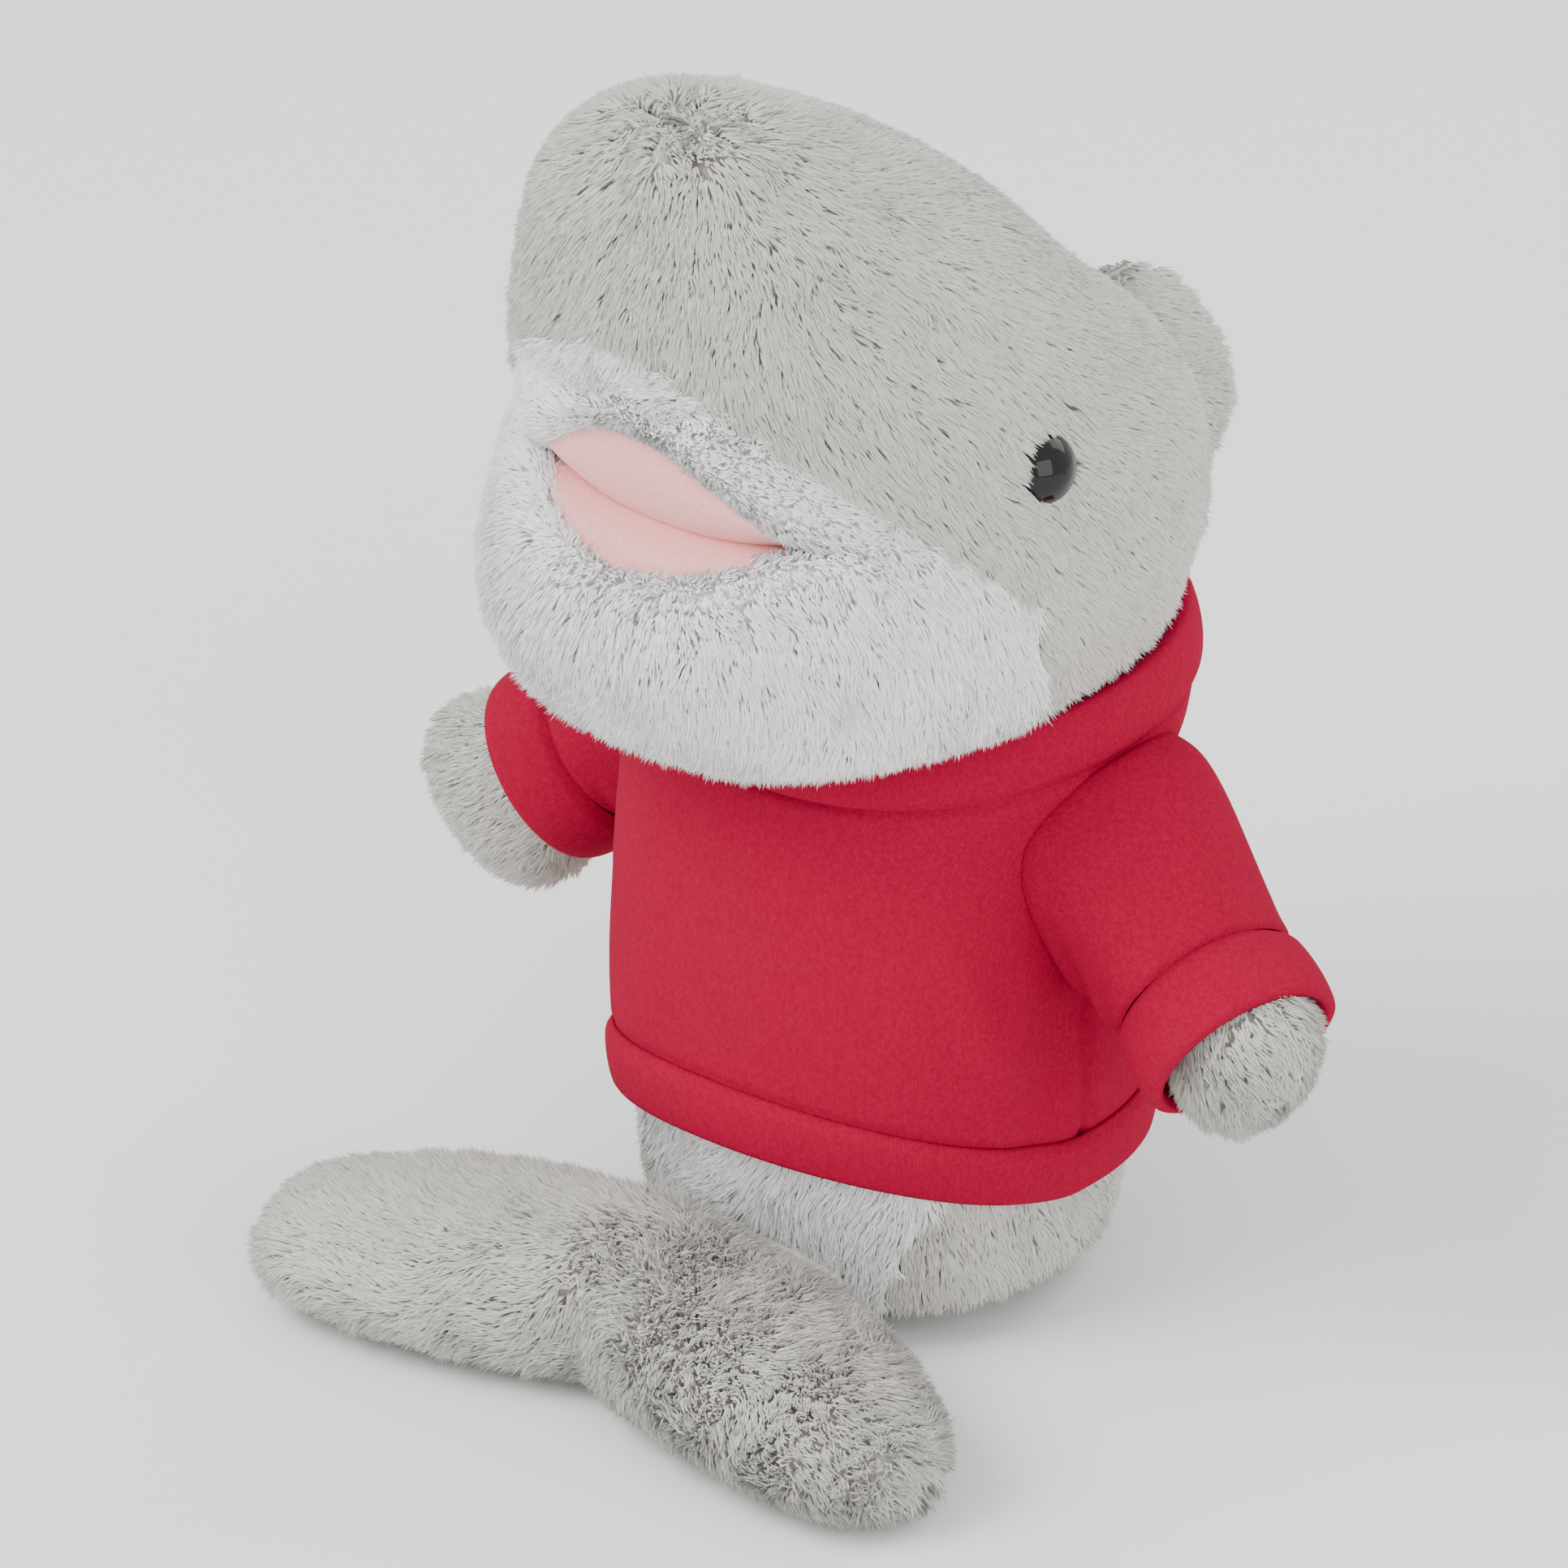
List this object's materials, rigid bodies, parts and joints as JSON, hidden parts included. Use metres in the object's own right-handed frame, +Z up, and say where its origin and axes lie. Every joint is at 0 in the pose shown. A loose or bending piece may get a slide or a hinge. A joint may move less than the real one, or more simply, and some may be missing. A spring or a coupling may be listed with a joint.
{
  "type": "plush shark",
  "caption": "Seated plush shark toy in a short-sleeved knit shirt, with a soft tail fluke, flippers and an open felt-lined mouth.",
  "frame": {"origin": "middle of the flat seat, on the surface the toy sits on", "axes": "+Z up, the shark faces -Y, its own left side is +X"},
  "size_m": [0.194, 0.1766, 0.2285],
  "materials": {
    "grey_pile": "short plush pile",
    "white_pile": "short plush pile",
    "pink_lining": "brushed short nap",
    "red_knit": "fine rib-free jersey knit",
    "fibre_fill": "loose polyester fibre",
    "pouch_cloth": "plain woven",
    "grey_thread": "sewing thread",
    "eye_black": "polished",
    "washer_white": "moulded"
  },
  "bodies": {
    "torso": {"body_back_panel": "grey_pile", "belly_panel": "white_pile", "body_base_panel": "grey_pile", "torso_stuffing": "fibre_fill", "bean_pouch": "pouch_cloth", "shirt_front": "red_knit", "shirt_back": "red_knit", "collar_band": "red_knit", "hem_band": "red_knit"},
    "neck": {"neck_stuffing": "white_pile"},
    "head": {"head_skin_left": "grey_pile", "head_skin_right": "grey_pile", "snout_gusset": "grey_pile", "muzzle_panel": "white_pile", "mouth_roof": "pink_lining", "head_stuffing": "fibre_fill", "left_eye": "eye_black", "right_eye": "eye_black", "left_eye_washer": "washer_white", "right_eye_washer": "washer_white", "nose_gather_stitch": "grey_thread"},
    "jaw": {"jaw_panel": "white_pile", "mouth_floor": "pink_lining", "jaw_stuffing": "fibre_fill"},
    "dorsal_fin": {"dorsal_fin_left_panel": "grey_pile", "dorsal_fin_right_panel": "grey_pile", "dorsal_fin_stuffing": "fibre_fill"},
    "left_flipper": {"left_sleeve": "red_knit", "left_cuff": "red_knit", "left_flipper_front_panel": "grey_pile", "left_flipper_back_panel": "grey_pile", "left_flipper_stuffing": "fibre_fill"},
    "right_flipper": {"right_sleeve": "red_knit", "right_cuff": "red_knit", "right_flipper_front_panel": "grey_pile", "right_flipper_back_panel": "grey_pile", "right_flipper_stuffing": "fibre_fill"},
    "tail": {"fluke_top_panel": "grey_pile", "fluke_bottom_panel": "grey_pile", "fluke_stuffing": "fibre_fill"}
  },
  "joints": [
    {"name": "head_turn", "type": "hinge", "parent": "torso", "child": "neck", "pos_m": [0, 0.003, 0.103], "axis": [0, -0.1564, 0.9877], "range_deg": [-12, 12], "stiffness_Nm_per_rad": 0.6},
    {"name": "head_nod", "type": "hinge", "parent": "neck", "child": "head", "pos_m": [0, 0.003, 0.103], "axis": [1, 0, 0], "range_deg": [-8, 6.5], "stiffness_Nm_per_rad": 1.2},
    {"name": "jaw_open", "type": "hinge", "parent": "head", "child": "jaw", "pos_m": [0, -0.02, 0.14], "axis": [1, 0, 0], "range_deg": [-2, 8.5], "stiffness_Nm_per_rad": 0.5},
    {"name": "dorsal_fin_flop", "type": "hinge", "parent": "head", "child": "dorsal_fin", "pos_m": [0, 0.0595, 0.157], "axis": [0, -0.1155, 0.9933], "range_deg": [-25, 25], "stiffness_Nm_per_rad": 0.02},
    {"name": "left_flipper_swing", "type": "hinge", "parent": "torso", "child": "left_flipper", "pos_m": [0.044, 0.008, 0.088], "axis": [-0.2588, -0.9659, 0], "range_deg": [-10, 34], "stiffness_Nm_per_rad": 0.15},
    {"name": "right_flipper_swing", "type": "hinge", "parent": "torso", "child": "right_flipper", "pos_m": [-0.044, 0.008, 0.088], "axis": [-0.2588, 0.9659, 0], "range_deg": [-10, 34], "stiffness_Nm_per_rad": 0.15},
    {"name": "tail_fold", "type": "hinge", "parent": "torso", "child": "tail", "pos_m": [0, -0.0415, 0.031], "axis": [-0.9986, -0.0523, 0], "range_deg": [0, 40], "stiffness_Nm_per_rad": 0.3}
  ]
}
